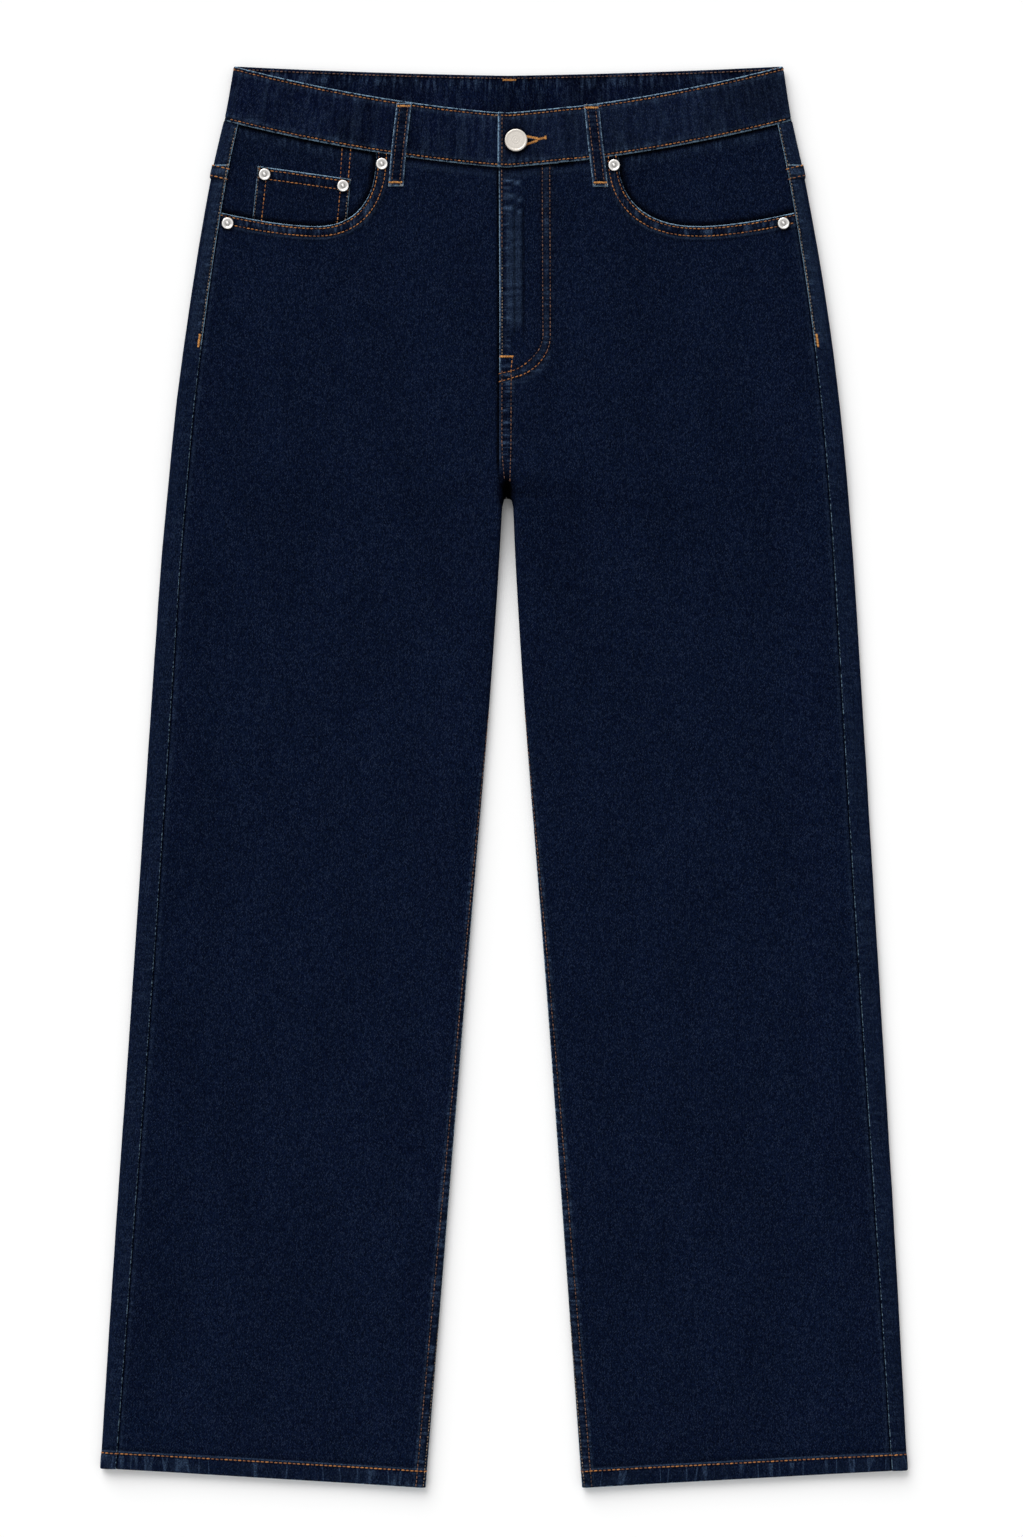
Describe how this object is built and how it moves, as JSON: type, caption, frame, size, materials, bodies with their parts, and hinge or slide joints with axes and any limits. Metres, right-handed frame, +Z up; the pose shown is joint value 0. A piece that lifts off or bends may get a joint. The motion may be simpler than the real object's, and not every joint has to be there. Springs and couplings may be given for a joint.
{
  "type": "baggy five-pocket jeans",
  "caption": "Wide-leg dark indigo jeans laid flat on their back, with a buttoned waistband, zip fly, slant-curved front pockets, coin pocket and topstitched seams.",
  "frame": {"origin": "centre of the garment's box, on the surface it lies on", "axes": "+Y from the hems to the waist, +Z up off the surface, +X towards the wearer's left side"},
  "size_m": [0.606, 1.0666, 0.014],
  "materials": {
    "denim": "rinsed dark indigo twill, matt, faint blue mottle",
    "denim_worn": "the same twill, worn paler along folded edges",
    "thread": "copper brown topstitching thread",
    "button_metal": "matt nickel",
    "rivet_metal": "satin nickel",
    "zip_metal": "antique brass chain on dark tape"
  },
  "bodies": {
    "root": {"front_left": "denim", "front_right": "denim", "back_left": "denim", "back_right": "denim", "yoke_left": "denim", "yoke_right": "denim", "pocket_facing_left": "denim", "pocket_facing_right": "denim", "coin_pocket": "denim", "back_pocket_left": "denim", "back_pocket_right": "denim", "fly_shield": "denim", "waistband": "denim_worn", "belt_loop_front_right": "denim_worn", "belt_loop_front_left": "denim_worn", "belt_loop_centre_back": "denim_worn", "belt_loop_side_right": "denim_worn", "belt_loop_side_left": "denim_worn", "button": "button_metal", "zip": "zip_metal", "rivet_right_top": "rivet_metal", "rivet_right_side": "rivet_metal", "rivet_coin_outer": "rivet_metal", "rivet_coin_inner": "rivet_metal", "rivet_left_top": "rivet_metal", "rivet_left_side": "rivet_metal"}
  },
  "joints": []
}
